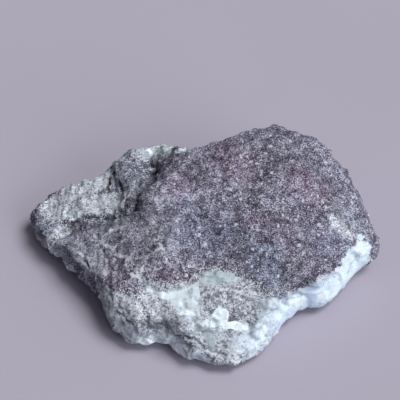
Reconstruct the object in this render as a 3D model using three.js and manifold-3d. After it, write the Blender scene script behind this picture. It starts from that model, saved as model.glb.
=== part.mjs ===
// Rough larimar: one broken slab of dark, grainy basalt with larimar grown through its front edge
// and its left end. The stone is one piece. Millimetres, +Z up. The origin is on the floor, under
// the middle of the stone. +X runs along its length and +Y goes to its back.
//
// The surface is an icosphere laid over the stone: its cap is the top face, its belt is the broken
// side and its other cap is the underside.
import * as THREE from "three";
import { mergeVertices } from "three/addons/utils/BufferGeometryUtils.js";
import Module from "manifold-3d";

// ---- driving dimensions ----
const MESH_DETAIL = 18; // splits of each edge of the icosahedron
const BELT = 0.26; // share of the icosphere's height that becomes the broken side
const EDGE_ROUNDING = 1.6; // 1 makes the side a flat chamfer, more makes it rounder
const BUMP_FADE = 4; // the power by which the side's bumps fade out near its edges
const FLOOR_BLOCK = 220; // side of the block that takes off what is below the floor

// The corners of the widest line round the stone, seen from above, counter-clockwise from the
// right-hand end: [x, y, height, inset of the lower edge, inset of the upper edge]
const RIM = [
  [53, 3, 6, 4, 3],
  [52, 9, 8, 4, 3],
  [49, 18, 9, 4, 3],
  [45.5, 26, 10, 4, 2.5],
  [37.5, 31, 12, 4, 3],
  [25, 36, 14, 4, 3],
  [8, 33.5, 13, 4, 3],
  [-6, 31, 12, 3, 3],
  [-14, 35, 12, 2, 2],
  [-24, 33, 11, 2, 2],
  [-32, 27, 9, 2, 2],
  [-42, 25, 9, 3, 2],
  [-51, 21, 7, 4, 2],
  [-53, 14.5, 3.5, 3, 2],
  [-49, 7.5, 3, 4, 2],
  [-42, 1, 4.5, 6, 1.5],
  [-33.8, -8.4, 6.3, 7, 1.5],
  [-28.5, -16.5, 6, 7, 2.5],
  [-26, -22.5, 4.5, 5, 3.5],
  [-21, -28, 2.5, 3, 4],
  [-11, -28, 3, 2, 3],
  [-5, -32, 3, 2, 3],
  [7, -35, 3, 2, 3.5],
  [13, -33, 3, 2, 3],
  [18.5, -28.3, 3, 2, 2.5],
  [24, -19.5, 3, 2, 3],
  [30, -15.5, 3.5, 2, 3],
  [35, -15, 3, 2, 3],
  [41, -10, 3, 2, 3.5],
  [45, -4, 3.5, 3, 3.5],
  [50, 0, 4, 3, 3.5],
];

// The top is a blend of tilted faces: [x, y, height there, rise per mm of x, rise per mm of y, reach]
const TOP_FACES = {
  main: [14, 7, 24.2, 0.02, 0.2, 12],
  crown: [25, 26, 28.2, 0, 0.08, 8],
  backLeft: [-3, 24, 25, 0.1, 0.06, 7],
  rightShoulder: [43, 15, 19, -0.5, 0.1, 8],
  rightToe: [42, 0, 14, -0.25, 0.25, 8],
  frontRight: [30, -9, 16.8, -0.05, 0.38, 6],
  trough: [17, -9, 17, -0.12, 0.36, 6],
  frontLobe: [3, -13, 17.6, 0.02, 0.36, 6],
  nose: [9, -27, 9.6, -0.12, 0.58, 6],
  frontLeft: [-14, -22, 13.2, 0.1, 0.46, 6],
  shoulderLeft: [-6, 6, 23.8, 0.1, 0.14, 8],
  fallLeft: [-20, -2, 18, 0.36, 0.12, 6],
  flank: [-32, -5, 12.8, 0.3, 0.1, 6],
  tip: [-46, 15, 9.5, 0.14, 0.02, 6],
  ledge: [-33, 18, 14.4, 0.12, 0.06, 5.5],
  hump: [-19, 26, 20.4, 0.16, 0, 5.5],
};

// The cleft between the hump and the main face, which runs on along the foot of the ledge:
// [x, y, depth, half width]
const CLEFT = [
  [-12, 35, 1.5, 3],
  [-13, 26, 2.5, 3],
  [-16, 17, 2.5, 3],
  [-21, 10, 2, 3],
  [-30, 8, 1.5, 3],
  [-38, 9, 0.5, 3],
];

const FAR_WEIGHT = 1e-9; // what a face counts for far beyond its reach

// The underside sags to the middle and rises to every edge, laid out like the top:
const UNDER_FACES = {
  belly: [5, 6, -0.5, 0, 0, 14],
  left: [-28, 0, 3.8, -0.1, 0, 11],
  leftTip: [-46, 14, 1.4, -0.04, 0, 8],
  front: [3, -22, 1.6, 0, -0.02, 9],
  right: [35, 4, 2, 0.05, 0, 11],
  back: [8, 28, 2.6, 0, 0.1, 10],
};

// How the broken surface stands out and in: mm between bumps, and their height in mm
const ROUGHNESS = [
  { spacing: 11, top: 0.55, side: 1 },
  { spacing: 4.2, top: 0.3, side: 0.55 },
];
const TOP_SLICE = 40; // height in the noise that the top is read from, away from the side's
const UNDER_SLICE = -40; // the same for the underside

// Large odd numbers that scramble the place of a grid corner: one for each axis, then two to mix
const AXIS_SCRAMBLE = [374761393, 668265263, 2147483647];
const MIX_SCRAMBLE = [1274126177, 2246822519];

const BASALT = new THREE.MeshStandardMaterial({ color: 0x85838f, roughness: 0.85, metalness: 0 });

// ---- roughness ----
// A repeatable number from 0 to 1 for each corner of a cubic grid.
function cornerValue(i, j, k) {
  const [a, b, c] = AXIS_SCRAMBLE;
  let h = (i * a + j * b + k * c) | 0;
  h = Math.imul(h ^ (h >>> 13), MIX_SCRAMBLE[0]);
  h = Math.imul(h ^ (h >>> 15), MIX_SCRAMBLE[1]);
  return ((h ^ (h >>> 16)) >>> 0) / 2 ** 32;
}

const ease = (t) => t * t * (3 - 2 * t);

// Smooth noise from -1 to 1 at a point, with bumps about one unit apart.
function noise(x, y, z) {
  const [i, j, k] = [Math.floor(x), Math.floor(y), Math.floor(z)];
  const [u, v, w] = [ease(x - i), ease(y - j), ease(z - k)];
  let sum = 0;
  for (const [di, wi] of [[0, 1 - u], [1, u]])
    for (const [dj, wj] of [[0, 1 - v], [1, v]])
      for (const [dk, wk] of [[0, 1 - w], [1, w]])
        sum += wi * wj * wk * cornerValue(i + di, j + dj, k + dk);
  return 2 * sum - 1;
}

// How far the broken surface stands out at a point, in mm, on the top or on the side.
function roughness(x, y, z, where) {
  let out = 0;
  for (const bumps of ROUGHNESS) {
    const n = noise(x / bumps.spacing, y / bumps.spacing, z / bumps.spacing);
    out += bumps[where] * n;
  }
  return out;
}

// ---- shape ----
// The height of a blend of tilted faces at x, y. The nearest face counts most, and FAR_WEIGHT
// lets every face count a little where none is near.
function blendedHeight(faces, x, y) {
  let [sum, weights] = [0, 0];
  for (const [fx, fy, height, riseX, riseY, reach] of Object.values(faces)) {
    const [dx, dy] = [x - fx, y - fy];
    const weight = Math.exp(-(dx * dx + dy * dy) / (reach * reach)) + FAR_WEIGHT;
    sum += weight * (height + riseX * dx + riseY * dy);
    weights += weight;
  }
  return sum / weights;
}

// How deep the cleft is at x, y.
function cleftDepth(x, y) {
  let deepest = 0;
  for (let n = 0; n + 1 < CLEFT.length; n++) {
    const [ax, ay, aDepth, aHalf] = CLEFT[n];
    const [bx, by, bDepth, bHalf] = CLEFT[n + 1];
    const [ex, ey] = [bx - ax, by - ay];
    const along = ((x - ax) * ex + (y - ay) * ey) / (ex * ex + ey * ey);
    const t = THREE.MathUtils.clamp(along, 0, 1);
    const away = Math.hypot(x - ax - t * ex, y - ay - t * ey);
    const half = THREE.MathUtils.lerp(aHalf, bHalf, t);
    const depth = THREE.MathUtils.lerp(aDepth, bDepth, t);
    deepest = Math.max(deepest, depth * Math.exp(-((away / half) ** 2)));
  }
  return deepest;
}

function topHeight(x, y) {
  return blendedHeight(TOP_FACES, x, y) - cleftDepth(x, y) + roughness(x, y, TOP_SLICE, "top");
}

function underHeight(x, y) {
  return blendedHeight(UNDER_FACES, x, y) + roughness(x, y, UNDER_SLICE, "top");
}

// Where the ray at this angle crosses the rim: { radius, height, lower inset, upper inset }.
function rimAt(angle) {
  const [c, s] = [Math.cos(angle), Math.sin(angle)];
  for (let n = 0; n < RIM.length; n++) {
    const [a, b] = [RIM[n], RIM[(n + 1) % RIM.length]];
    const [sideA, sideB] = [c * a[1] - s * a[0], c * b[1] - s * b[0]];
    const ahead = c * (a[0] + b[0]) + s * (a[1] + b[1]) > 0;
    if (!ahead || sideA > 0 || sideB <= 0) continue;
    const t = sideA / (sideA - sideB);
    const [x, y, height, lower, upper] = a.map((v, m) => THREE.MathUtils.lerp(v, b[m], t));
    return { radius: Math.hypot(x, y), height, lower, upper };
  }
  throw new Error("the rim doesn't close round the origin");
}

// The stone's surface point for a point of the unit icosphere.
function onStone(d) {
  const angle = Math.atan2(d.y, d.x);
  const [c, s] = [Math.cos(angle), Math.sin(angle)];
  const rim = rimAt(angle);
  const heightAt = d.z > 0 ? topHeight : underHeight;
  const edge = rim.radius - (d.z > 0 ? rim.upper : rim.lower);
  if (Math.abs(d.z) > BELT) {
    // the top and the underside, out to their edge
    const radius = edge * Math.sqrt((1 - Math.abs(d.z)) / (1 - BELT));
    return new THREE.Vector3(c * radius, s * radius, heightAt(c * radius, s * radius));
  }
  // the side, from the rim to that edge
  const share = Math.abs(d.z) / BELT;
  const height = THREE.MathUtils.lerp(rim.height, heightAt(c * edge, s * edge), share);
  const smooth = THREE.MathUtils.lerp(rim.radius, edge, share ** EDGE_ROUNDING);
  const bump = roughness(c * smooth, s * smooth, height, "side");
  const radius = smooth + bump * (1 - share ** BUMP_FADE);
  return new THREE.Vector3(c * radius, s * radius, height);
}

// ---- solid ----
// A geometry with only its places left, and one vertex at each place.
function bare(geometry) {
  geometry.deleteAttribute("normal");
  geometry.deleteAttribute("uv");
  return mergeVertices(geometry);
}

// A closed geometry as a solid that can be cut.
function solidOf(wasm, geometry) {
  const vertProperties = geometry.attributes.position.array;
  const triVerts = new Uint32Array(geometry.index.array);
  return new wasm.Manifold(new wasm.Mesh({ numProp: 3, vertProperties, triVerts }));
}

// A solid as a geometry.
function geometryOf(solid) {
  const mesh = solid.getMesh();
  const geometry = new THREE.BufferGeometry();
  geometry.setAttribute("position", new THREE.BufferAttribute(mesh.vertProperties, 3));
  geometry.setIndex(new THREE.BufferAttribute(mesh.triVerts, 1));
  geometry.computeVertexNormals();
  return geometry;
}

// The whole stone, with its belly still sagging below the floor.
function saggingStone() {
  const geometry = bare(new THREE.IcosahedronGeometry(1, MESH_DETAIL));
  const places = geometry.attributes.position;
  const d = new THREE.Vector3();
  for (let n = 0; n < places.count; n++) {
    const p = onStone(d.fromBufferAttribute(places, n).normalize());
    places.setXYZ(n, p.x, p.y, p.z);
  }
  return geometry;
}

// The block below the floor, which leaves the small flat spot that the stone rests on.
function belowFloor() {
  const block = new THREE.BoxGeometry(FLOOR_BLOCK, FLOOR_BLOCK, FLOOR_BLOCK);
  block.translate(0, 0, -FLOOR_BLOCK / 2);
  return bare(block);
}

const wasm = await Module();
wasm.setup();

const geometry = geometryOf(solidOf(wasm, saggingStone()).subtract(solidOf(wasm, belowFloor())));
geometry.computeBoundingBox();
const middle = geometry.boundingBox.getCenter(new THREE.Vector3());

const stone = new THREE.Mesh(geometry, BASALT);
stone.name = "stone";
stone.position.set(-middle.x, -middle.y, 0);

const larimar = new THREE.Group();
larimar.add(stone);

export default larimar;
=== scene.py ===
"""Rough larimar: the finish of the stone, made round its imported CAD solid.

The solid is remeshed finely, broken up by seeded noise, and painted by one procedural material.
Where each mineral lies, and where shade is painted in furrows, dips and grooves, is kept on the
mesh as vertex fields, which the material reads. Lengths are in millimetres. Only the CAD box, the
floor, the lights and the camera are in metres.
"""
import math

import bpy
import numpy as np
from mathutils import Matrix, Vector
from mathutils.bvhtree import BVHTree


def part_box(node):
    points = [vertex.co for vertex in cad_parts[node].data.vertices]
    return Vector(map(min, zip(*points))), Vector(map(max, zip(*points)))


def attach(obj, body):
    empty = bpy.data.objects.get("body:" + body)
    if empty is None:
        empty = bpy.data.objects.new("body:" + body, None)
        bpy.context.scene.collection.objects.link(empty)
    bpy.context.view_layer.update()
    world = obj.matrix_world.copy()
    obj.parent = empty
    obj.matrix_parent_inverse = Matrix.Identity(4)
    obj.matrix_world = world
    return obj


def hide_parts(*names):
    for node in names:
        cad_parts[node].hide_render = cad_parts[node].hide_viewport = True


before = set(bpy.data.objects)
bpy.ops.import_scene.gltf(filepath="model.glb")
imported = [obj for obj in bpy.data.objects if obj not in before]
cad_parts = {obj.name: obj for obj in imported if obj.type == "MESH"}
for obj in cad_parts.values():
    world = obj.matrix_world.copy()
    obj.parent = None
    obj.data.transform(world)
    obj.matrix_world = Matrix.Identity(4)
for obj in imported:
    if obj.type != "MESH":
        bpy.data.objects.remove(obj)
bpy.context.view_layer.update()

MM = 0.001
LOW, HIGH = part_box("stone")
HALF = np.array([HIGH.x - LOW.x, HIGH.y - LOW.y, 0]) / 2 / MM
MIDDLE = np.array([HIGH.x + LOW.x, HIGH.y + LOW.y, 0]) / 2 / MM
HEIGHT = (HIGH.z - LOW.z) / MM

# ---- the mesh ----
VOXEL = 0.43
SMOOTHING_PASSES = 10

# ---- where things are ----
# A place on the stone is (across, back) in shares of its half length and half depth from the
# middle, dropped onto the top. A third number, a share of the height, puts it on the side instead.

# Furrows and cracks: the places they run through, their depth and half width.
# Shade is painted into each furrow as well, the more the deeper it is for its half width.
FURROWS = [
    # the cleft between the hump and the plateau, and the broken crack in it
    ([(-0.28, 0.7), (-0.3, 0.58), (-0.34, 0.44), (-0.38, 0.3)], 1.1, 2.0),
    ([(-0.29, 0.8), (-0.28, 0.74)], 1.5, 0.7),
    ([(-0.27, 0.72), (-0.28, 0.64), (-0.3, 0.56)], 1.3, 0.55),
    ([(-0.34, 0.57), (-0.36, 0.45), (-0.39, 0.33)], 1.6, 0.6),
    ([(-0.37, 0.32), (-0.38, 0.26), (-0.4, 0.21)], 1.8, 0.7),
    # the hump's left foot
    ([(-0.53, 0.74), (-0.51, 0.62), (-0.49, 0.5), (-0.47, 0.42)], 0.8, 1.3),
    ([(-0.51, 0.73), (-0.51, 0.67)], 0.9, 0.5),
    ([(-0.54, 0.67), (-0.54, 0.6)], 1.1, 0.55),
    ([(-0.48, 0.59), (-0.47, 0.5)], 1.0, 0.6),
    # the ledge's foot
    ([(-0.39, 0.2), (-0.49, 0.25), (-0.6, 0.28), (-0.73, 0.28), (-0.8, 0.24)], 0.8, 1.7),
    ([(-0.41, 0.19), (-0.5, 0.28), (-0.6, 0.3), (-0.71, 0.31), (-0.79, 0.31)], 0.8, 0.5),
    # the front
    ([(-0.05, -0.71), (-0.04, -0.78), (-0.02, -0.84)], 0.35, 0.7),
    ([(-0.17, -0.78, 0.25), (-0.1, -0.83, 0.33), (-0.01, -0.87, 0.28), (0.12, -0.95, 0.19)],
     0.4, 0.45),
    ([(-0.48, -0.62, 0.38), (-0.43, -0.69, 0.36), (-0.36, -0.75, 0.33), (-0.33, -0.78, 0.18)],
     0.3, 0.5),
    ([(0.2, -0.38), (0.26, -0.46), (0.36, -0.52), (0.46, -0.52)], 0.6, 1.0),
    # hairlines on the left flank
    ([(-0.56, 0.0), (-0.5, -0.22), (-0.46, -0.3)], 0.35, 0.45),
    ([(-0.84, 0.16), (-0.74, 0.04), (-0.66, -0.08), (-0.6, -0.24)], 0.4, 0.5),
]

# Ridges and lumps that stand out: the places they run through, their height and half width.
RIDGES = [
    ([(-0.38, 0.86), (-0.3, 0.9), (-0.22, 0.9)], 0.6, 2.8),
    ([(-0.14, 0.8), (-0.1, 0.82)], 0.4, 1.5),
    ([(-0.5, 0.79), (-0.49, 0.69)], 0.5, 0.8),
    ([(-0.52, 0.67), (-0.52, 0.57)], 0.6, 0.8),
    ([(-0.42, 0.34), (-0.42, 0.3)], 0.5, 2.2),
    ([(-0.3, -0.79, 0.14), (-0.28, -0.8, 0.1)], 0.5, 1.3),
    ([(0.07, -0.68), (0.12, -0.66)], 0.6, 1.6),
    ([(0.02, -0.74), (0.12, -0.75)], 0.4, 1.8),
]

# Flat facets broken across the pale mineral: the place, the radius, how deep, and how the facet
# leans away from the surface round it.
FACETS = [
    ((-0.14, -0.58), 5.0, 1.0, (-0.1, 0.1, 0.2)),
    ((-0.04, -0.57), 4.5, 0.9, (0.0, 0.1, 0.2)),
    ((0.08, -0.41), 4.0, 0.6, (0.0, -0.1, 0.1)),
    ((0.33, -0.59), 3.6, 0.6, (-0.1, -0.2, 0.0)),
    ((0.2, -0.76), 4.0, 0.7, (0.1, 0.0, 0.2)),
    ((0.24, -0.88), 4.6, 1.0, (0.1, 0.1, 0.3)),
    ((0.08, -0.83), 4.6, 0.8, (-0.1, -0.1, 0.0)),
    ((-0.12, -0.74), 4.0, 0.7, (-0.2, 0.0, 0.0)),
    ((-0.24, -0.73), 3.6, 0.6, (0.0, -0.3, 0.0)),
    ((-0.24, -0.6), 3.6, 0.6, (-0.1, -0.1, 0.0)),
    ((-0.14, -0.86, 0.18), 4.0, 0.8, (0.0, 0.0, 0.2)),
    ((-0.42, -0.73, 0.24), 4.5, 0.9, (0.0, 0.0, 0.0)),
    ((0.39, -0.66, 0.28), 4.5, 0.9, (0.1, 0.0, 0.2)),
    ((0.5, -0.47, 0.26), 4.5, 1.0, (0.2, 0.0, 0.8)),
    ((0.6, -0.44, 0.28), 4.5, 1.0, (0.0, 0.0, 0.8)),
    ((0.72, -0.34, 0.32), 4.5, 0.9, (0.2, 0.0, 0.1)),
    ((0.82, -0.14, 0.34), 4.5, 0.9, (0.1, -0.1, 0.2)),
    ((-0.28, 0.9), 3.0, 0.6, (0.1, 0.0, 0.0)),
    ((-0.22, 0.88), 2.6, 0.8, (0.0, 0.0, 0.6)),
    ((-0.8, 0.5), 4.0, 0.5, (-0.1, 0.0, 0.0)),
    ((-0.64, 0.48), 4.0, 0.5, (0.1, -0.1, 0.0)),
]

# Flat chips struck off all over: their radius, how deep, how many, and the seed of their draw.
STRIKES = [
    (2.6, 0.16, 500, 3),
    (5, 0.3, 140, 2),
    (9, 0.5, 36, 1),
]

# How far noise pushes the borders of the patches below, and of the veins.
PATCH_WANDER = 1.1
VEIN_WANDER = 0.4

# Where each kind of mineral lies: the places that a patch or vein runs through, its half width,
# and how strongly it shows.
# The dark kind is not a mineral: it is painted shade.
PATCHES = {
    # pale mineral with dark grains in it
    "chalk": [
        ([(-0.86, 0.5), (-0.75, 0.6), (-0.6, 0.66), (-0.54, 0.66)], 3.4, 1.0),
        ([(-0.82, 0.45), (-0.72, 0.45), (-0.58, 0.42), (-0.46, 0.38)], 4.2, 1.0),
        ([(-0.76, 0.24), (-0.82, 0.09)], 2.0, 0.9),
        ([(-0.94, 0.2, 0.16), (-0.84, 0.02, 0.18), (-0.72, -0.12, 0.2)], 1.8, 0.9),
        ([(-0.36, 0.86), (-0.3, 0.9), (-0.21, 0.87)], 2.8, 1.2),
        ([(-0.29, 0.76), (-0.28, 0.72)], 0.9, 0.8),
        ([(-0.15, 0.78), (-0.1, 0.8)], 0.9, 0.9),
        ([(-0.54, -0.5), (-0.5, -0.56), (-0.4, -0.66), (-0.33, -0.76)], 5.0, 1.0),
        ([(-0.26, -0.52), (-0.2, -0.64), (-0.18, -0.76)], 4.4, 1.0),
        ([(-0.1, -0.6), (-0.02, -0.74), (0.04, -0.86), (0.14, -0.92)], 6.0, 1.15),
        ([(-0.3, -0.78, 0.2), (-0.14, -0.82, 0.25), (0.0, -0.92, 0.2)], 3.6, 1.2),
        ([(0.04, -0.5), (0.2, -0.52), (0.3, -0.6), (0.3, -0.8)], 6.0, 1.1),
        ([(0.46, -0.48), (0.62, -0.39), (0.76, -0.26), (0.86, -0.06)], 1.6, 0.9),
        ([(0.72, 0.18), (0.74, 0.15)], 1.8, 0.8),
        ([(0.78, 0.1), (0.81, 0.06)], 2.0, 0.75),
        # behind, out of the front's sight
        ([(0.1, 0.95, 0.3), (0.2, 0.95, 0.45), (0.3, 0.95, 0.65)], 1.6, 0.9),
        ([(0.75, 0.7, 0.25), (0.85, 0.6, 0.3), (0.95, 0.4, 0.25)], 2.4, 0.8),
        ([(-0.5, 0.9, 0.3), (-0.3, 1.0, 0.25), (-0.1, 1.0, 0.3)], 2.6, 0.9),
    ],
    # clean larimar
    "larimar": [
        ([(-0.34, 0.86), (-0.3, 0.9), (-0.2, 0.88)], 2.4, 0.5),
        ([(-0.16, -0.6), (0.0, -0.72), (0.14, -0.82)], 4.6, 0.55),
        ([(0.36, -0.66), (0.26, -0.84)], 5.0, 0.7),
        ([(0.38, -0.62), (0.32, -0.74), (0.28, -0.84)], 4.0, 0.9),
        ([(0.4, -0.64, 0.15), (0.36, -0.74, 0.1)], 3.5, 1.0),
        ([(0.02, -0.8), (0.07, -0.87)], 1.6, 0.8),
        ([(0.44, -0.55, 0.25), (0.55, -0.46, 0.25), (0.64, -0.42, 0.28)], 5.0, 1.3),
        ([(0.64, -0.42, 0.3), (0.76, -0.29, 0.3), (0.85, -0.11, 0.28)], 5.2, 1.3),
        ([(0.84, -0.11, 0.3), (0.88, 0.0, 0.38)], 2.8, 1.2),
        ([(0.87, 0.04, 0.44), (0.88, 0.08, 0.48)], 1.1, 0.7),
        ([(-0.5, -0.62, 0.33), (-0.42, -0.73, 0.24), (-0.32, -0.79, 0.12)], 2.6, 0.9),
        ([(-0.24, -0.8, 0.14), (-0.12, -0.87, 0.18), (0.02, -0.96, 0.1)], 2.8, 1.0),
    ],
    # the whitest larimar, on fresh flat breaks
    "white": [
        ([(-0.28, -0.47), (-0.24, -0.52), (-0.19, -0.56)], 1.2, 0.9),
        ([(0.34, -0.74), (0.3, -0.84)], 1.2, 0.7),
        ([(-0.18, -0.8, 0.14), (-0.12, -0.87, 0.16)], 2.0, 0.7),
        ([(-0.3, -0.79, 0.14), (-0.27, -0.8, 0.1)], 1.6, 0.8),
        ([(0.53, -0.45, 0.24), (0.6, -0.42, 0.28), (0.64, -0.42, 0.32)], 2.6, 0.9),
        ([(0.76, -0.3, 0.22), (0.84, -0.14, 0.28)], 2.2, 0.5),
        ([(0.85, -0.06, 0.38), (0.87, 0.0, 0.4)], 1.2, 0.5),
        ([(-0.33, 0.9), (-0.28, 0.88)], 1.4, 0.55),
        ([(-0.24, 0.9), (-0.2, 0.88)], 1.4, 0.5),
        ([(-0.74, 0.36), (-0.7, 0.38)], 1.6, 0.6),
    ],
    # dark grains crowded in the pale mineral
    "grainy": [
        ([(0.01, -0.52), (0.05, -0.58)], 2.5, 1.1),
        ([(0.02, -0.64), (0.04, -0.66)], 1.4, 1.1),
        ([(0.08, -0.49), (0.2, -0.5), (0.3, -0.54)], 2.6, 0.8),
        ([(0.1, -0.56), (0.2, -0.58), (0.28, -0.6)], 4.0, 0.8),
        ([(0.17, -0.64), (0.2, -0.68)], 1.8, 1.1),
        ([(0.24, -0.66), (0.28, -0.7)], 1.7, 1.0),
        ([(-0.32, -0.73), (-0.24, -0.73), (-0.16, -0.74)], 2.3, 1.3),
        ([(-0.48, -0.61), (-0.42, -0.61), (-0.36, -0.65)], 1.8, 0.6),
        ([(-0.42, -0.7), (-0.36, -0.72)], 1.1, 1.0),
        ([(-0.2, -0.64), (-0.18, -0.66)], 1.5, 0.9),
        ([(-0.08, -0.86), (-0.03, -0.89)], 1.9, 1.2),
        ([(0.1, -0.85), (0.13, -0.86)], 1.5, 1.1),
        ([(0.02, -0.94), (0.1, -0.97)], 1.9, 1.0),
        ([(-0.92, 0.36), (-0.86, 0.28), (-0.91, 0.2)], 2.4, 1.0),
    ],
    # thin pale veins
    "vein": [
        ([(-0.44, 0.09), (-0.5, 0.09), (-0.55, 0.06), (-0.54, -0.03), (-0.5, -0.06)], 0.45, 1.0),
        ([(-0.5, -0.06), (-0.46, -0.15), (-0.39, -0.23), (-0.35, -0.34)], 0.4, 0.9),
        ([(-0.35, -0.34), (-0.33, -0.42), (-0.26, -0.48)], 0.5, 1.0),
        ([(-0.69, -0.03), (-0.62, -0.12), (-0.6, -0.2), (-0.57, -0.38)], 0.5, 0.9),
        ([(-0.35, -0.22), (-0.32, -0.31), (-0.34, -0.42)], 0.35, 0.9),
        ([(-0.24, -0.14), (-0.22, -0.2), (-0.17, -0.27), (-0.14, -0.34)], 0.4, 1.0),
        ([(-0.22, -0.2), (-0.3, -0.24), (-0.39, -0.23)], 0.35, 0.9),
        ([(-0.11, -0.29), (-0.08, -0.38)], 0.5, 0.9),
        ([(-0.44, -0.1), (-0.5, -0.2)], 0.35, 0.9),
        ([(-0.56, -0.42), (-0.5, -0.5), (-0.42, -0.54)], 0.5, 0.9),
        ([(-0.4, -0.36), (-0.35, -0.39)], 0.35, 0.9),
        ([(-0.3, -0.06), (-0.26, -0.14)], 0.35, 0.8),
    ],
    # where a web of hair-thin pale veins shows
    "web": [
        ([(-0.55, 0.02), (-0.5, -0.2), (-0.4, -0.4), (-0.24, -0.4)], 5.5, 1.0),
        ([(-0.4, -0.1), (-0.24, -0.2), (-0.1, -0.3), (0.0, -0.36)], 4.5, 0.8),
        ([(0.7, 0.26), (0.78, 0.12)], 3.0, 0.9),
        ([(-0.16, 0.5), (-0.02, 0.3)], 3.0, 0.5),
        ([(0.6, 0.9, 0.5), (0.3, 1.0, 0.4)], 5.0, 0.8),
    ],
    # larimar of the palest blue
    "azure": [
        ([(0.44, -0.55, 0.2), (0.64, -0.42, 0.28), (0.85, -0.11, 0.28), (0.91, 0.04, 0.4)],
         5.0, 1.0),
        ([(0.39, -0.62), (0.32, -0.8), (0.26, -0.9)], 3.0, 0.35),
    ],
    # iron-stained, reddish purple
    "rust": [
        ([(0.13, 0.7), (0.2, 0.5)], 5.0, 1.0),
        ([(-0.14, 0.32), (-0.1, 0.4)], 3.6, 1.0),
        ([(0.52, 0.38), (0.64, 0.34)], 4.6, 1.0),
        ([(-0.48, -0.28), (-0.44, -0.44)], 3.4, 1.0),
        ([(-0.2, -0.38), (-0.12, -0.42)], 2.4, 1.0),
        ([(0.3, 0.0), (0.42, -0.1)], 4.0, 0.7),
    ],
    # painted shade: the basalt darker where the top dips away from the light and along grooves
    "dark": [
        ([(0.2, 0.85), (0.52, 0.6), (0.75, 0.25)], 9.0, 0.4),
        ([(0.12, -0.04), (0.24, -0.2), (0.34, -0.36)], 5.0, 1.0),
        ([(0.34, -0.04), (0.5, -0.08), (0.6, -0.04)], 5.0, 0.7),
        ([(-0.18, -0.38), (-0.08, -0.42)], 2.5, 0.6),
        ([(-0.5, 0.24), (-0.7, 0.28)], 3.0, 0.6),
        ([(-0.9, 0.22), (-0.84, 0.1)], 2.5, 0.6),
    ],
    # dusted with pale powder
    "dusty": [
        ([(-0.82, 0.08), (-0.66, -0.06), (-0.58, -0.2)], 4.5, 0.75),
        ([(-0.5, 0.1), (-0.36, 0.0), (-0.2, 0.1)], 6.0, 0.25),
        ([(0.78, 0.2), (0.86, 0.08)], 4.0, 0.4),
        ([(-0.44, 0.72), (-0.4, 0.55)], 4.0, 0.3),
    ],
    # bluish grey
    "blue": [
        ([(-0.06, 0.06), (0.06, -0.06)], 7.0, 0.8),
        ([(-0.75, 0.0), (-0.68, -0.04)], 3.4, 1.0),
        ([(-0.64, -0.1), (-0.6, -0.2)], 3.4, 1.0),
        ([(0.32, -0.2), (0.33, -0.36)], 4.0, 0.8),
        ([(0.66, -0.1), (0.74, 0.0)], 4.0, 0.8),
    ],
    # greenish grey and finer grained
    "green": [
        ([(-0.46, 0.72), (-0.36, 0.7), (-0.38, 0.54), (-0.45, 0.48)], 4.5, 0.9),
        ([(-0.62, 0.27), (-0.5, 0.24), (-0.44, 0.22)], 1.8, 1.0),
        ([(0.3, -0.12), (0.34, -0.3), (0.4, -0.42)], 4.5, 0.7),
        ([(-0.92, 0.34), (-0.86, 0.26)], 2.6, 0.8),
        ([(0.74, 0.2), (0.84, 0.12)], 3.0, 0.6),
        ([(0.0, -0.79), (0.08, -0.87)], 2.4, 0.9),
        ([(-0.2, -0.64), (-0.14, -0.7)], 2.0, 0.7),
    ],
}

# Faces broken clean across the front, with sharp borders: the mineral on each one, its corners seen
# from above, and how strongly it shows. Two of them are of greenish larimar.
GREENISH_SLAB = [
    (-0.02, -0.45), (0.0, -0.38), (0.11, -0.35), (0.2, -0.4), (0.16, -0.44), (0.02, -0.48),
]
GREENISH_CHIP = [(0.3, -0.54), (0.36, -0.56), (0.36, -0.63), (0.32, -0.64), (0.29, -0.59)]
FRESH_FACES = [
    ("grainy", [
        (0.0, -0.48), (0.16, -0.45), (0.26, -0.42), (0.33, -0.53), (0.34, -0.6), (0.29, -0.68),
        (0.16, -0.7), (0.13, -0.62), (0.08, -0.62), (0.02, -0.69), (-0.01, -0.59),
    ], 0.8),
    ("white", [
        (-0.16, -0.62), (-0.11, -0.64), (-0.02, -0.62), (0.0, -0.68), (-0.03, -0.71),
        (-0.12, -0.69),
    ], 1.0),
    ("larimar", GREENISH_SLAB, 1.1),
    ("green", GREENISH_SLAB, 1.0),
    ("larimar", GREENISH_CHIP, 1.0),
    ("green", GREENISH_CHIP, 1.0),
    ("white", [
        (-0.18, -0.52), (-0.1, -0.5), (-0.02, -0.44), (-0.01, -0.56), (-0.02, -0.62),
        (-0.11, -0.64), (-0.16, -0.62), (-0.17, -0.56),
    ], 1.25),
    ("white", [
        (0.04, -0.7), (0.06, -0.66), (0.08, -0.63), (0.13, -0.63), (0.14, -0.69), (0.13, -0.73),
        (0.06, -0.74),
    ], 1.1),
    ("white", [
        (-0.03, -0.73), (0.02, -0.71), (0.07, -0.74), (0.14, -0.72), (0.2, -0.7), (0.25, -0.71),
        (0.24, -0.76), (0.2, -0.78), (0.14, -0.77), (0.08, -0.76), (0.02, -0.76),
    ], 1.0),
    ("white", [
        (0.19, -0.8), (0.26, -0.78), (0.34, -0.8), (0.31, -0.89), (0.24, -0.96), (0.16, -0.91),
    ], 0.3),
]

# The pale seam that comes out under the stone and low on its back: the height of its top over the
# origin, how much lower that is for each mm to the right and backwards, and how far it wavers.
SEAM_HEIGHT = 6.5
SEAM_DIP_RIGHT = 0.05
SEAM_DIP_BACK = 0.1
SEAM_WAVER = 2.2

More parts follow.
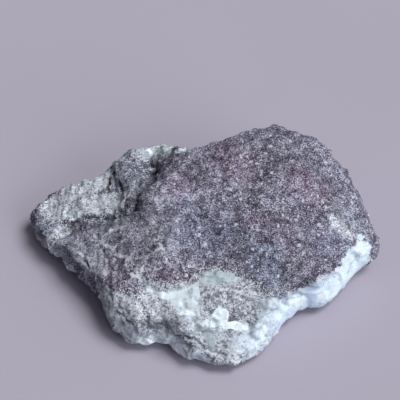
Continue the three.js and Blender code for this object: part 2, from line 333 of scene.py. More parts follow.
# ---- colours ----
# A ramp says which colour each value has. A pair is the colour at 0 and at 1. A tint multiplies the
# colour that it falls on.
BASALT_RAMP = (
    (0.22, (0.023, 0.021, 0.03)),
    (0.37, (0.076, 0.07, 0.1)),
    (0.5, (0.17, 0.159, 0.222)),
    (0.63, (0.313, 0.3, 0.385)),
    (0.77, (0.6, 0.61, 0.69)),
)
BASALT_TINTS = {
    "rust": (1.32, 0.96, 1.05),
    "blue": (0.96, 1.0, 1.06),
    "green": (0.98, 1.09, 1.06),
    # painted shade, on the patches of the dark kind
    "dark": (0.72, 0.72, 0.74),
}
BROAD_TINT = (0.97, 1.0, 1.02)
POWDER_PAIR = (0.16, 0.16, 0.2), (0.6, 0.62, 0.71)
FLECK_COLOR = (0.66, 0.69, 0.77)
PIT_COLOR = (0.024, 0.022, 0.032)
VEIN_PAIR = (0.26, 0.27, 0.32), (0.88, 0.92, 0.98)
CHALK_RAMP = (
    (0.24, (0.17, 0.18, 0.215)),
    (0.37, (0.36, 0.39, 0.44)),
    (0.49, (0.52, 0.565, 0.62)),
    (0.6, (0.66, 0.71, 0.77)),
    (0.74, (0.77, 0.82, 0.88)),
)
CROWDED_CHALK_TINT = (0.86, 0.86, 0.87)
LARIMAR_RAMP = (
    (0.34, (0.55, 0.64, 0.76)),
    (0.46, (0.64, 0.72, 0.79)),
    (0.56, (0.74, 0.81, 0.86)),
    (0.68, (0.52, 0.61, 0.63)),
)
FACET_RAMP = (0.0, (0.7,) * 3), (0.5, (0.86,) * 3), (1.0, (1.0,) * 3)
AZURE_RAMP = (0.0, (0.68, 0.82, 1.0)), (0.4, (0.75, 0.88, 1.0)), (1.0, (0.8, 0.93, 1.0))
GREEN_LARIMAR_TINT = (0.66, 0.7, 0.69)
FIBRE_TINT = (0.76, 0.81, 0.84)
WHITEST_RAMP = (0.36, (0.67, 0.77, 0.83)), (0.48, (0.76, 0.86, 0.91)), (0.62, (0.83, 0.93, 0.97))
FINE_GRAIN_TINT = (0.89, 0.905, 0.92)
DARK_GRAIN_PAIR = (0.03, 0.035, 0.046), (0.22, 0.235, 0.28)
HAIRLINE_TINT = (0.4, 0.42, 0.46)
# painted shade in the furrows and cracks
FURROW_SHADE_TINT = (0.22, 0.22, 0.24)
FLOOR_RAMP = (0.0, (0.392, 0.372, 0.446)), (1.0, (0.412, 0.39, 0.466))
# how rough the fine grains are, and clean larimar
GRAIN_ROUGHNESS = (0.0, (0.92,) * 3), (0.8, (0.8,) * 3), (1.0, (0.45,) * 3)
CLEAN_ROUGHNESS = (0.6,) * 3
FLOOR_ROUGHNESS = 0.95
STONE_SPECULAR = 0.35
FLOOR_SPECULAR = 0.1

# ---- the floor, the lights and the camera, in metres and degrees ----
FLOOR_SIZE = 6
# Each light: where it shines from, how wide it is, its strength and its colour.
LIGHTS = {
    "overhead": ((0.55, 0.08, 1.0), 30, 2.29, (1, 0.99, 0.98)),
    "side": ((1.0, -0.85, 0.7), 36, 1.22, (0.96, 0.99, 1.02)),
}
STUDIO_BRIGHTEST = (0.7, -0.1, 0.72)
STUDIO_STRENGTH = 0.45
STUDIO_COLOR = (0.98, 0.94, 1.07, 1)
BACKDROP_STRENGTH = 0.42
CAMERA_TARGET = (-0.0006, 0.0283, 0)
CAMERA_AWAY = 0.42
CAMERA_DOWN = 50
VIEW_WIDTH = 0.125
SENSOR_MM = 36


# ---- noise ----
def corner_random(i, j, k, seed):
    """A repeatable number from 0 to 1 for each corner of a cubic grid, by mixing up its bits."""
    h = (i * 374761393 + j * 668265263 + k * 2147483647 + seed * 362437).astype(np.uint32)
    h = (h ^ (h >> 13)) * np.uint32(1274126177)
    h = (h ^ (h >> 15)) * np.uint32(2246822519)
    return (h ^ (h >> 16)) / 2.0**32


def smooth_noise(p, seed):
    """Noise from -1 to 1 with bumps about one unit apart."""
    base = np.floor(p).astype(np.int64)
    t = p - base
    t = t * t * t * (t * (t * 6 - 15) + 10)  # flat at both ends, so that no grid shows
    total = np.zeros(len(p))
    for i in (0, 1):
        for j in (0, 1):
            for k in (0, 1):
                x, y, z = (base + (i, j, k)).T
                weight = np.prod(np.where((i, j, k), t, 1 - t), axis=1)
                total += weight * corner_random(x, y, z, seed)
    return 2 * total - 1


def layered_noise(p, spacing, seed, layers):
    """Noise with finer and weaker layers on it."""
    total, strength = np.zeros(len(p)), 1.0
    for layer in range(layers):
        total += strength * smooth_noise(p / spacing, seed + layer)
        spacing, strength = spacing / 2.03, strength / 2  # not quite 2: no corners line up
    return total


def warp(p, spacing, seed, layers):
    """A smoothly varying push for each point, about -1 to 1 along each axis."""
    axes = [layered_noise(p, spacing, seed + 10 * n, layers) for n in range(3)]
    return np.stack(axes, axis=1)


def cell_points(p, spacing, seed, randoms):
    """For each of the 27 cells round a point: the way to its own point, and random numbers."""
    q = p / spacing
    base = np.floor(q).astype(np.int64)
    for i in (-1, 0, 1):
        for j in (-1, 0, 1):
            for k in (-1, 0, 1):
                x, y, z = (base + (i, j, k)).T
                r = [corner_random(x, y, z, seed + n) for n in range(3 + randoms)]
                yield q - np.stack([x + r[0], y + r[1], z + r[2]], axis=1), r[3:]


def broken_faces(p, spacing, seed, sharpness=22):
    """Heights, about -1 to 1, of flat faces that each tilt their own way and meet in edges."""
    total, weights = np.zeros(len(p)), np.zeros(len(p))
    for away, r in cell_points(p, spacing, seed, 4):
        tilt = 2 * np.stack(r[:3], axis=1) - 1
        weight = np.exp(-sharpness * (away**2).sum(1))
        total += weight * ((away * tilt).sum(1) + 0.25 * (2 * r[3] - 1))
        weights += weight
    return total / (weights + 1e-12)


def chips(p, spacing, seed):
    """Heights, about -1 to 1, of shallow tilted scoops that meet in sharp ridges."""
    lowest = np.full(len(p), np.inf)
    for away, r in cell_points(p, spacing, seed, 4):
        tilt = 1.5 * np.stack(r[:3], axis=1) - 0.75
        lowest = np.minimum(lowest, (away * tilt).sum(1) + 0.5 * r[3] + 1.1 * (away**2).sum(1))
    return 2.2 * (lowest - 0.3)


def grains(p, spacing, seed):
    """Round grains packed together: 1 at the top of a tall one, 0 in the gaps."""
    nearest, tall = np.full(len(p), 9.0), np.zeros(len(p))
    for away, r in cell_points(p, spacing, seed, 1):
        square = (away**2).sum(1)
        tall = np.where(square < nearest, r[0], tall)
        nearest = np.minimum(nearest, square)
    return np.clip(1 - nearest / 0.8, 0, 1) * (0.35 + 0.65 * tall)


def ramp(x, low, high):
    """0 below low, 1 above high, and a smooth rise between."""
    t = np.clip((x - low) / (high - low), 0, 1)
    return t * t * (3 - 2 * t)


# ---- places ----
def surface_tree(obj):
    """The surface of an object, in mm, to cast rays at and find the nearest points of."""
    vertices = [v.co / MM for v in obj.data.vertices]
    return BVHTree.FromPolygons(vertices, [p.vertices for p in obj.data.polygons])


def on_stone(tree, place):
    """The surface point of a place, in mm."""
    across, back, *up = place
    point = Vector((MIDDLE[0] + across * HALF[0], MIDDLE[1] + back * HALF[1], 0))
    if up:
        point.z = up[0] * HEIGHT
        return np.array(tree.find_nearest(point)[0])
    point.z = 2 * HEIGHT
    hit = tree.ray_cast(point, Vector((0, 0, -1)))[0]
    if hit is None:  # the place is just off the outline
        point.z = HEIGHT / 3
        hit = tree.find_nearest(point)[0]
    return np.array(hit)


def stroke(tree, places):
    """Points about 1 mm apart along a line drawn on the stone through some places."""
    points = [on_stone(tree, places[0])]
    for a, b in zip(places[:-1], places[1:]):
        a, b = np.array(a), np.array(b)
        steps = max(1, round(np.linalg.norm((b - a)[:2] * HALF[:2])))
        points += [on_stone(tree, a + (b - a) * n / steps) for n in range(1, steps + 1)]
    return points


def depth_inside(p, corners):
    """How many mm each of p is inside an outline seen from above. Outside it this is below 0."""
    corners = MIDDLE[:2] + np.array(corners) * HALF[:2]
    nearest, inside = np.full(len(p), np.inf), np.zeros(len(p), bool)
    for a, b in zip(corners, np.roll(corners, -1, axis=0)):
        away, side = p[:, :2] - a, b - a
        t = np.clip(away @ side / (side @ side), 0, 1)
        nearest = np.minimum(nearest, np.linalg.norm(away - t[:, None] * side, axis=1))
        crossed = (a[1] > p[:, 1]) != (b[1] > p[:, 1])
        inside ^= crossed & (away[:, 0] < away[:, 1] * side[0] / (side[1] or 1))
    return np.where(inside, nearest, -nearest)


def distance_to_stroke(p, points, reach):
    """How far each of p is from a stroke. Further than reach isn't measured, and is infinite."""
    nearest = np.full(len(p), np.inf)
    low, high = np.min(points, axis=0) - reach, np.max(points, axis=0) + reach
    near = np.flatnonzero(((p > low) & (p < high)).all(1))
    for a, b in zip(points[:-1] or points, points[1:] or points):
        span = b - a
        t = np.clip(((p[near] - a) @ span) / max(span @ span, 1e-9), 0, 1)
        away = np.linalg.norm(p[near] - a - t[:, None] * span, axis=1)
        nearest[near] = np.minimum(nearest[near], away)
    return nearest


# ---- the stone ----
def fine_copy(node):
    """The CAD solid as an even, fine mesh with its facets smoothed away."""
    obj = bpy.data.objects.new("fine", node.data.copy())
    bpy.context.scene.collection.objects.link(obj)
    remesh = obj.modifiers.new("remesh", "REMESH")
    remesh.mode = "VOXEL"
    remesh.voxel_size = VOXEL * MM
    smooth = obj.modifiers.new("smooth", "SMOOTH")
    smooth.factor = 0.5
    smooth.iterations = SMOOTHING_PASSES
    evaluated = obj.evaluated_get(bpy.context.evaluated_depsgraph_get())
    mesh = bpy.data.meshes.new_from_object(evaluated)
    bpy.data.objects.remove(obj)
    return mesh


def read(mesh, what, attribute):
    """One vector for each vertex, as the rows of an array."""
    values = np.zeros(len(mesh.vertices) * 3)
    getattr(mesh, what).foreach_get(attribute, values)
    return values.reshape(-1, 3)


def mineral_fields(p, normal, tree):
    """How strongly each kind of mineral, and the painted shade of the dark kind, shows at each
    point.

    A patch has its own strength in its middle, half of it at its edge, and none beyond. A fresh
    face has its own strength right up to its jagged border, and only where it faces up.
    """
    push = warp(p, 7, 100, 3)
    fields = {}
    for kind, patches in PATCHES.items():
        field = np.zeros(len(p))
        at = p + (VEIN_WANDER if kind == "vein" else PATCH_WANDER) * push
        for places, half_width, strength in patches:
            away = distance_to_stroke(at, stroke(tree, places), 2 * half_width) / half_width
            field = np.maximum(field, strength * (1 - ramp(away, 0.35, 1.65)))
        fields[kind] = field
    jagged = p + 0.6 * broken_faces(p, 2.5, seed=97)[:, None]
    for kind, corners, strength in FRESH_FACES:
        covered = ramp(depth_inside(jagged, corners), -0.4, 0.4) * ramp(normal[:, 2], 0, 0.3)
        fields[kind] = np.maximum(fields[kind], strength * covered)
    return fields


def add_hidden_seam(p, normal, fields):
    """Adds the pale seam under the stone and low on its back, and pale patches beside it."""
    seam = SEAM_HEIGHT - SEAM_DIP_RIGHT * p[:, 0] - SEAM_DIP_BACK * p[:, 1]
    seam += SEAM_WAVER * layered_noise(p, 13, 300, 3)
    below = ramp(seam - p[:, 2], -0.8, 1.6) * ramp(-normal[:, 2], -0.35, 0.25)
    below *= np.maximum(ramp(p[:, 1], -4, 8), ramp(-normal[:, 2], 0.7, 0.95))
    clean = ramp(layered_noise(p, 18, 320, 3), -0.3, 0.3)
    fields["chalk"] = np.maximum(fields["chalk"], below)
    fields["larimar"] = np.maximum(fields["larimar"], below * clean)
    patchy = ramp(layered_noise(p, 16, 340, 3), 0.1, 0.6) * ramp(-normal[:, 2], -0.4, 0.1)
    fields["chalk"] = np.maximum(fields["chalk"], 0.9 * patchy)


def strike(p, normal, centre, radius, depth, lean):
    """Shaves the high spots round one point flat, as a chip struck off there would.

    The flat spot faces as the middle of the surface round it does, but for its lean. It blends
    into that surface at its rim, and it cuts no deeper than 1.5 times its depth.
    """
    near = np.flatnonzero(np.abs(p - p[centre]).max(1) < radius)
    away = p[near] - p[centre]
    share = np.linalg.norm(away, axis=1) / radius
    facing = normal[near[share < 0.6]].mean(0) + lean
    facing /= np.linalg.norm(facing)
    height = away @ facing
    above = np.maximum(height - height[share < 0.7].max() + depth, 0)
    above = np.minimum(above, 1.5 * depth)
    p[near] -= (above * (1 - ramp(share, 0.75, 1)))[:, None] * facing


def strike_all_over(p, normal, radius, depth, count, seed):
    """Strikes chips off at points drawn at random, each one with a small lean of its own."""
    rng = np.random.default_rng(seed)
    for centre in rng.choice(len(p), count, replace=False):
        strike(p, normal, centre, radius, depth, 0.12 * rng.normal(size=3))


def rough_out(p, normal, fields, tree):
    """Breaks the smooth stone into faces, which are gentler on its top and along its blue band."""
    placed = p.copy()
    pale = ramp(fields["chalk"], 0.3, 0.7)
    rough = 1 - 0.6 * ramp(normal[:, 2], 0.7, 0.9) * (1 - 0.7 * pale)
    rough *= 1 - 0.75 * ramp(fields["azure"], 0.3, 0.9)
    behind = ramp(np.maximum(normal[:, 1], -normal[:, 2]), 0.2, 0.7) * (1 - pale)
    bent = p + 0.8 * warp(p, 6, 200, 2)
    # big, middling and small faces, and sharper ones on the pale mineral
    out = rough * (1.0 + 0.6 * behind) * broken_faces(bent, 11, seed=11)
    out -= (0.35 + 0.4 * behind) * rough
    out += rough * 0.7 * broken_faces(bent, 5, seed=23)
    out += (0.15 + 0.3 * rough) * broken_faces(bent, 2.4, seed=27, sharpness=40)
    out += 0.45 * pale * rough * broken_faces(bent, 3.6, seed=31, sharpness=60)
    p += out[:, None] * normal
    for radius, depth, count, seed in STRIKES:
        strike_all_over(p, normal, radius, depth, count, seed)
    for place, radius, depth, lean in FACETS:
        centre = np.argmin(((placed - on_stone(tree, place)) ** 2).sum(1))
        strike(p, normal, centre, radius, depth, lean)


def relief(p, placed, fields, tree):
    """How far each point then moves out along its normal, and how much shade is painted on it in a
    furrow.

    placed is where the points were on the CAD surface, which furrows and ridges are measured on.
    """
    pale = ramp(fields["chalk"], 0.3, 0.7)
    clean = np.maximum(0.6 * ramp(fields["larimar"], 0.3, 0.7), ramp(fields["white"], 0.3, 0.6))
    rough = 1 - 0.8 * clean
    # grains, grit and scoops, and small sharp faces on the pale mineral
    out = (1 - 0.5 * pale) * rough * 0.26 * (grains(p, 1.05, seed=61) - 0.3)
    out += (1 - 0.4 * pale) * rough * 0.14 * layered_noise(p, 1.1, 71, 2)
    out += rough * 0.2 * chips(p, 2.6, seed=75)
    out += (1 - 0.6 * clean) * 0.24 * pale * broken_faces(p, 1.5, seed=79, sharpness=60)
    wavering = placed + 0.5 * broken_faces(p, 2.5, seed=91)[:, None]
    wavering += 0.3 * layered_noise(p, 3, 93, 2)[:, None]
    varying = 1 + 0.4 * layered_noise(p, 3, 95, 2)
    # painted shade: how darkly each point in a furrow is painted, the more the deeper the furrow is
    # for its width
    furrow_shade_share = np.zeros(len(p))
    for places, depth, half_width in FURROWS:
        away = distance_to_stroke(wavering, stroke(tree, places), 3 * half_width)
        here = np.exp(-((away / half_width) ** 2))
        out -= depth * varying * here
        furrow_shade_share = np.maximum(furrow_shade_share, min(1, depth / half_width) * varying * here)
    for places, height, half_width in RIDGES:
        away = distance_to_stroke(wavering, stroke(tree, places), 2 * half_width)
        out += height * (1 - ramp(away / half_width, 0.8, 1.2))
    return out, ramp(furrow_shade_share, 0.35, 1)


def stone_mesh(node):
    """The finished stone, made from its CAD solid, with a vertex attribute for each field."""
    mesh = fine_copy(node)
    p = read(mesh, "vertices", "co") / MM
    normal = read(mesh, "vertex_normals", "vector")
    tree = surface_tree(node)
    fields = mineral_fields(p, normal, tree)
    add_hidden_seam(p, normal, fields)
    placed = p.copy()
    rough_out(p, normal, fields, tree)
    # the second value is the shade painted in the furrows, kept as a vertex field like the minerals
    out, fields["deep"] = relief(p, placed, fields, tree)
    p += out[:, None] * normal
    p[:, 2] = np.maximum(p[:, 2], LOW.z / MM)
    mesh.vertices.foreach_set("co", (p * MM).ravel())
    for kind, field in fields.items():
        attribute = mesh.attributes.new(kind, "FLOAT", "POINT")
        attribute.data.foreach_set("value", field.astype(np.float32))
    mesh.polygons.foreach_set("use_smooth", np.ones(len(mesh.polygons), bool))
    mesh.update()
    return mesh


# ---- materials ----
class Paint:
    """Builds a material's nodes by short calls. Each call gives back an output socket."""

    def __init__(self, name):
        self.material = bpy.data.materials.new(name)
        self.material.use_nodes = True
        self.tree = self.material.node_tree
        self.shader = self.tree.nodes["Principled BSDF"]
        coordinates = self.node("ShaderNodeTexCoord").outputs["Object"]
        self.place = self.scaled(coordinates, 1 / MM)

    def node(self, kind, **settings):
        node = self.tree.nodes.new(kind)
        for name, value in settings.items():
            setattr(node, name, value)
        return node

    def put(self, socket, value):
        if isinstance(value, bpy.types.NodeSocket):
            self.tree.links.new(value, socket)
        else:
            socket.default_value = value

    def scaled(self, vector, factor):
        node = self.node("ShaderNodeVectorMath", operation="SCALE")
        self.put(node.inputs[0], vector)
        self.put(node.inputs["Scale"], factor)
        return node.outputs[0]

    def field(self, name):
        return self.node("ShaderNodeAttribute", attribute_name=name).outputs["Fac"]

    def stretched(self, turn, stretch):
        """Coordinates turned about each axis, then stretched along the first one."""
        node = self.node("ShaderNodeMapping")
        self.put(node.inputs["Vector"], self.place)
        self.put(node.inputs["Rotation"], turn)
        self.put(node.inputs["Scale"], (1 / stretch, 1, 1))
        return node.outputs[0]

    def noise(self, spacing, detail, roughness=0.5, distortion=0.0, place=None):
        node = self.node("ShaderNodeTexNoise")
        self.put(node.inputs["Vector"], place or self.place)
        self.put(node.inputs["Scale"], 1 / spacing)
        self.put(node.inputs["Detail"], detail)
        self.put(node.inputs["Roughness"], roughness)
        self.put(node.inputs["Distortion"], distortion)
        return node.outputs["Fac"]

    def ruffled(self, spacing, amount):
        """Coordinates pushed about by noise, by up to about half an amount in mm."""
        noise = self.node("ShaderNodeTexNoise")
        self.put(noise.inputs["Vector"], self.place)
        self.put(noise.inputs["Scale"], 1 / spacing)
        node = self.node("ShaderNodeVectorMath", operation="ADD")
        self.put(node.inputs[0], self.place)
        self.put(node.inputs[1], self.scaled(noise.outputs["Color"], amount))
        return node.outputs[0]

    def cells(self, spacing, place=None):
        """A random number for each grain, and how far a point is from its middle."""
        node = self.node("ShaderNodeTexVoronoi")
        self.put(node.inputs["Vector"], place or self.place)
        self.put(node.inputs["Scale"], 1 / spacing)
        split = self.node("ShaderNodeSeparateColor")
        self.put(split.inputs[0], node.outputs["Color"])
        return split.outputs[0], node.outputs["Distance"]

    def spots(self, spacing, size, share, place):
        """1 on scattered grains: a share of the cells hold one, size of a cell across."""
        number, away = self.cells(spacing, place)
        chosen = self.rise(self.math("ADD", share, number), 0.97, 1.03)
        return self.times(chosen, self.rise(away, size / 2 + 0.1, size / 2 - 0.1))

    def cracks(self, spacing, width, place):
        """1 on the lines where cells meet."""
        node = self.node("ShaderNodeTexVoronoi", feature="DISTANCE_TO_EDGE")
        self.put(node.inputs["Vector"], place)
        self.put(node.inputs["Scale"], 1 / spacing)
        return self.rise(node.outputs["Distance"], width / spacing, 0.0)

    def math(self, operation, a, b):
        node = self.node("ShaderNodeMath", operation=operation)
        self.put(node.inputs[0], a)
        self.put(node.inputs[1], b)
        return node.outputs[0]

    def times(self, a, b):
        return self.math("MULTIPLY", a, b)

    def larger(self, a, b):
        return self.math("MAXIMUM", a, b)

    def add(self, *terms):
        """The sum of some terms: (share, socket), or a plain number."""
        total = 0.0
        for term in terms:
            if isinstance(term, tuple):
                share, socket = term
                term = self.times(socket, share)
            total = self.math("ADD", term, total)
        return total

    def rise(self, value, low, high):
        """0 up to low, 1 from high on, and smooth between. It falls if high is the lower one."""
        node = self.node("ShaderNodeMapRange", interpolation_type="SMOOTHSTEP")
        self.put(node.inputs["Value"], value)
        self.put(node.inputs["From Min"], low)
        self.put(node.inputs["From Max"], high)
        return node.outputs["Result"]

    def ramp(self, value, *stops):
        """A colour for each value: (value, (red, green, blue))."""
        node = self.node("ShaderNodeValToRGB")
        self.put(node.inputs["Fac"], value)
        elements = node.color_ramp.elements
        while len(elements) < len(stops):
            elements.new(0.5)
        for element, (position, color) in zip(elements, stops):
            element.position = position
            element.color = (*color, 1)
        return node.outputs["Color"]

    def mix(self, factor, a, b, blend="MIX"):
        node = self.node("ShaderNodeMix", data_type="RGBA", blend_type=blend)
        self.put(node.inputs["Factor"], factor)
        self.put(node.inputs["A"], a if isinstance(a, bpy.types.NodeSocket) else (*a, 1))
        self.put(node.inputs["B"], b if isinstance(b, bpy.types.NodeSocket) else (*b, 1))
        return node.outputs["Result"]

    def tint(self, factor, color, tint):
        return self.mix(factor, color, tint, "MULTIPLY")

    def bump(self, height, strength, distance, below=None):
        node = self.node("ShaderNodeBump")
        self.put(node.inputs["Height"], height)
        self.put(node.inputs["Strength"], strength)
        self.put(node.inputs["Distance"], distance * MM)
        if below is not None:
            self.put(node.inputs["Normal"], below)
        return node.outputs["Normal"]


class StonePaint(Paint):
    """The stone's material. The noises and shares that several parts of it use are kept in it."""

    def __init__(self):
        super().__init__("rough_larimar")
        # random numbers and noises, each with the size of its grains or clouds first
        self.coarse, self.coarse_away = self.cells(0.5)
        self.fine, self.fine_away = self.cells(0.25)
        self.gritty = self.noise(0.33, 3, 0.8)
        self.patchy = self.noise(2.8, 5, 0.7)
        self.cloudy = self.noise(5.5, 3, 0.5)
        self.broad = self.noise(12, 4, 0.55)
        self.fibres = self.noise(0.6, 5, 0.75, 0.3, self.stretched((0.2, 0.3, 0.6), 4))
        self.bumpy = self.ruffled(0.6, 1.2)
        self.bent = self.ruffled(3.5, 3.5)
        self.facet = self.cells(4, self.bent)[0]
        self.angular = self.cells(2.2, self.ruffled(1.5, 1.2))[0]
        self.ragged = self.add(
            (0.4, self.patchy), (0.9, self.gritty), (0.35, self.fine), (0.3, self.coarse), -0.97,
        )
        self.chalky = self.chalky_share()
        self.clean = self.clean_share()
        self.white = self.rise(
            self.add((1.0, self.field("white")), (0.6, self.ragged), (0.4, self.angular)),
            0.6, 0.78,
        )
        self.azure = self.ramp(self.facet, *AZURE_RAMP)

    def chalky_share(self):
        """1 on pale mineral, with borders broken up to single grains and a dusting over them."""
        chalk = self.field("chalk")
        share = self.rise(self.add((0.8, chalk), (1.05, self.ragged)), 0.34, 0.6)
        return self.larger(share, self.times(self.rise(chalk, 0.3, 0.8), 0.3))

    def clean_share(self):
        """1 on clean larimar, in angular pieces."""
        share = self.add(
            (0.9, self.field("larimar")), (-0.4, self.field("grainy")), (0.35, self.ragged),
        )
        share = self.add((1, share), (0.9, self.patchy), (0.3, self.angular), -0.6)
        return self.rise(share, 0.3, 0.6)

    def basalt(self):
        """Dark, middling and light grains, with a few white flecks and dark pits."""
        salt = self.add(
            (0.15, self.coarse), (0.45, self.fine), (1.1, self.gritty), (0.75, self.patchy),
            (0.2, self.cloudy), (0.3, self.broad), -0.985,
        )
        color = self.ramp(salt, *BASALT_RAMP)
        color = self.tint(self.rise(self.broad, 0.4, 0.6), color, BROAD_TINT)
        rusty = self.times(self.field("rust"), self.rise(salt, 0.72, 0.4))
        color = self.tint(rusty, color, BASALT_TINTS["rust"])
        # bluish and greenish grey, then painted shade on the dark kind's patches
        for kind in ("blue", "green", "dark"):
            color = self.tint(self.field(kind), color, BASALT_TINTS[kind])
        powder = self.mix(self.rise(salt, 0.25, 0.75), *POWDER_PAIR)
        color = self.mix(self.times(self.field("dusty"), 0.8), color, powder)
        flecks = self.spots(1.5, 0.6, self.add((1.1, self.patchy), -0.34), self.bumpy)
        flecks = self.times(flecks, self.rise(self.gritty, 0.36, 0.5))
        color = self.mix(self.times(flecks, 0.92), color, FLECK_COLOR)
        pits = self.spots(1.3, 0.6, self.add((-0.9, self.cloudy), 0.57), self.bumpy)
        return self.mix(self.times(pits, 0.9), color, PIT_COLOR)

    def veins(self, color):
        """Adds the pale veins, and the web of finer ones, to a colour."""
        web = self.times(self.field("web"), self.cracks(5.5, 0.55, self.bent))
        share = self.add((0.9, self.field("vein")), (0.7, web), (1.05, self.ragged))
        share = self.rise(share, 0.48, 0.72)
        return self.mix(self.times(share, 0.95), color, self.mix(self.gritty, *VEIN_PAIR))

    def chalk(self):
        """White to grey grains, greyer where dark ones crowd between them."""
        milky = self.add(
            (0.2, self.coarse), (0.4, self.fine), (1.1, self.gritty), (0.5, self.fibres),
            (0.7, self.patchy), (0.3, self.broad), -1.045,
        )
        return self.tint(self.field("grainy"), self.ramp(milky, *CHALK_RAMP), CROWDED_CHALK_TINT)

    def larimar(self):
        """Pale blue to pale green facets with darker fibres, and bluer along the azure band."""
        color = self.ramp(self.noise(6, 4, 0.6, 0.6), *LARIMAR_RAMP)
        color = self.tint(0.8, color, self.ramp(self.facet, *FACET_RAMP))
        color = self.tint(self.field("green"), color, GREEN_LARIMAR_TINT)
        color = self.mix(self.field("azure"), color, self.azure)
        return self.tint(self.rise(self.fibres, 0.54, 0.36), color, FIBRE_TINT)

    def whitest(self):
        """The whitest larimar, which is blue along the azure band too."""
        value = self.add(
            (0.4, self.fibres), (0.4, self.noise(3, 3, 0.6)), (0.2, self.facet),
            (0.2, self.angular), -0.1,
        )
        color = self.ramp(value, *WHITEST_RAMP)
        return self.mix(self.times(self.field("azure"), 0.8), color, self.azure)

    def dark_grains(self, color):
        """Adds the dark grains in the pale mineral, crowded and single ones, to a colour."""
        grainy = self.field("grainy")
        share = self.add(
            (0.3, grainy), (1.3, self.patchy), (-0.4, self.clean), (-0.5, self.white), -0.64,
        )
        crowd = self.spots(0.8, 0.8, share, self.bumpy)
        clump = self.add((2.2, self.noise(1.3, 3, 0.6)), (0.55, grainy), (0.4, self.gritty))
        clump = self.add((1.0, clump), (-0.5, self.white), (-0.2, self.clean), -1.36)
        crowd = self.larger(crowd, self.rise(clump, 0.5, 0.66))
        crowd = self.times(crowd, self.times(self.chalky, 0.8))
        grain = self.mix(self.gritty, *DARK_GRAIN_PAIR)
        color = self.mix(crowd, color, grain)
        specks = self.spots(0.65, 0.95, self.add((1.1, self.patchy), -0.32), self.bumpy)
        bare = self.add((0.9, self.chalky), (-0.6, self.clean), (-0.7, self.white))
        return self.mix(self.times(specks, bare), color, grain)

    def hairlines(self, color):
        """Adds the finest dark cracks in the pale mineral to a colour."""
        lines = self.cracks(3.4, 0.35, self.stretched((0.2, 0.3, 0.5), 2))
        lines = self.times(lines, self.rise(self.patchy, 0.46, 0.54))
        lines = self.times(lines, self.times(self.chalky, 0.7))
        return self.tint(lines, color, HAIRLINE_TINT)

    def color(self):
        """Every mineral over the one before it, then the grains and cracks in them, then painted
        shade in the furrows.
        """
        color = self.veins(self.basalt())
        color = self.mix(self.chalky, color, self.chalk())
        color = self.mix(self.clean, color, self.larimar())
        color = self.mix(self.white, color, self.whitest())
        color = self.tint(self.rise(self.gritty, 0.62, 0.4), color, FINE_GRAIN_TINT)
        color = self.hairlines(self.dark_grains(color))
        # painted shade: darker in the furrows and cracks
        return self.tint(self.field("deep"), color, FURROW_SHADE_TINT)

    def roughness(self):
        """Mostly dull, with some glossier fine grains."""
        return self.mix(self.clean, self.ramp(self.fine, *GRAIN_ROUGHNESS), CLEAN_ROUGHNESS)

    def fine_relief(self):
        """The finest relief, softer on clean larimar."""
        calm = self.times(self.larger(self.clean, self.white), 0.6)
        calm = self.math("SUBTRACT", 1.0, calm)
        normal = self.bump(self.times(self.noise(0.25, 3, 0.7), calm), 0.7, 0.2)
        normal = self.bump(self.times(self.fine_away, calm), -0.6, 0.2, normal)
        return self.bump(self.times(self.coarse_away, calm), -0.6, 0.34, normal)


def stone_material():
    paint = StonePaint()
    paint.put(paint.shader.inputs["Base Color"], paint.color())
    paint.put(paint.shader.inputs["Roughness"], paint.roughness())
    paint.put(paint.shader.inputs["Normal"], paint.fine_relief())
    paint.shader.inputs["Specular IOR Level"].default_value = STONE_SPECULAR
    return paint.material


def floor_material():
    paint = Paint("pale_floor")
    mottle = paint.noise(60, 2)
    paint.put(paint.shader.inputs["Base Color"], paint.ramp(mottle, *FLOOR_RAMP))
    paint.shader.inputs["Roughness"].default_value = FLOOR_ROUGHNESS
    paint.shader.inputs["Specular IOR Level"].default_value = FLOOR_SPECULAR
    return paint.material


# ---- light and camera ----
def aim(obj, target):
    obj.rotation_euler = (Vector(target) - obj.location).to_track_quat("-Z", "Y").to_euler()


def add_light(name, place, angle, strength, color):
    """A soft distant light that shines from a place to the stone."""
    light = bpy.data.lights.new(name, "SUN")
    light.angle = math.radians(angle)
    light.energy = strength
    light.color = color
    obj = bpy.data.objects.new(name, light)
    obj.location = place
    bpy.context.scene.collection.objects.link(obj)
    aim(obj, (0, 0, 0))


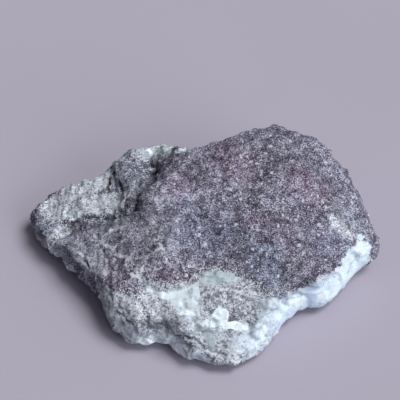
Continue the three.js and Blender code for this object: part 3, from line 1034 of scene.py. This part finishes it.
def add_camera():
    """Looks backwards and down at the stone, from in front of it."""
    down = math.radians(CAMERA_DOWN)
    target = Vector(CAMERA_TARGET)
    camera = bpy.data.cameras.new("camera")
    camera.sensor_width = SENSOR_MM
    camera.lens = SENSOR_MM * CAMERA_AWAY / VIEW_WIDTH
    obj = bpy.data.objects.new("camera", camera)
    obj.location = target + CAMERA_AWAY * Vector((0, -math.cos(down), math.sin(down)))
    bpy.context.scene.collection.objects.link(obj)
    aim(obj, target)
    bpy.context.scene.camera = obj


def add_floor():
    bpy.ops.mesh.primitive_plane_add(size=FLOOR_SIZE, location=(0, 0, LOW.z))
    floor = bpy.context.object
    floor.name = "floor"
    floor.data.materials.append(floor_material())


def add_world():
    """A plain studio, which lights the stone most from high on the right and not from low left.

    The camera itself sees an even, pale backdrop behind the floor.
    """
    world = bpy.data.worlds.new("studio")
    world.use_nodes = True
    nodes, links = world.node_tree.nodes, world.node_tree.links
    coordinates = nodes.new("ShaderNodeTexCoord")
    toward = nodes.new("ShaderNodeVectorMath")
    toward.operation = "DOT_PRODUCT"
    toward.inputs[1].default_value = Vector(STUDIO_BRIGHTEST).normalized()
    light = nodes.new("ShaderNodeMapRange")
    light.inputs["To Max"].default_value = STUDIO_STRENGTH
    backdrop = nodes.new("ShaderNodeMix")
    backdrop.inputs["B"].default_value = BACKDROP_STRENGTH
    nodes["Background"].inputs["Color"].default_value = STUDIO_COLOR
    links.new(coordinates.outputs["Generated"], toward.inputs[0])
    links.new(toward.outputs["Value"], light.inputs["Value"])
    seen = nodes.new("ShaderNodeLightPath").outputs["Is Camera Ray"]
    links.new(seen, backdrop.inputs["Factor"])
    links.new(light.outputs["Result"], backdrop.inputs["A"])
    links.new(backdrop.outputs["Result"], nodes["Background"].inputs["Strength"])
    bpy.context.scene.world = world


stone = bpy.data.objects.new("rough_larimar", stone_mesh(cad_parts["stone"]))
bpy.context.scene.collection.objects.link(stone)
stone.data.materials.clear()
stone.data.materials.append(stone_material())
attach(stone, "root")
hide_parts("stone")

add_floor()
add_world()
for name, (place, angle, strength, color) in LIGHTS.items():
    add_light(name, place, angle, strength, color)
add_camera()
bpy.context.scene.view_settings.view_transform = "Standard"
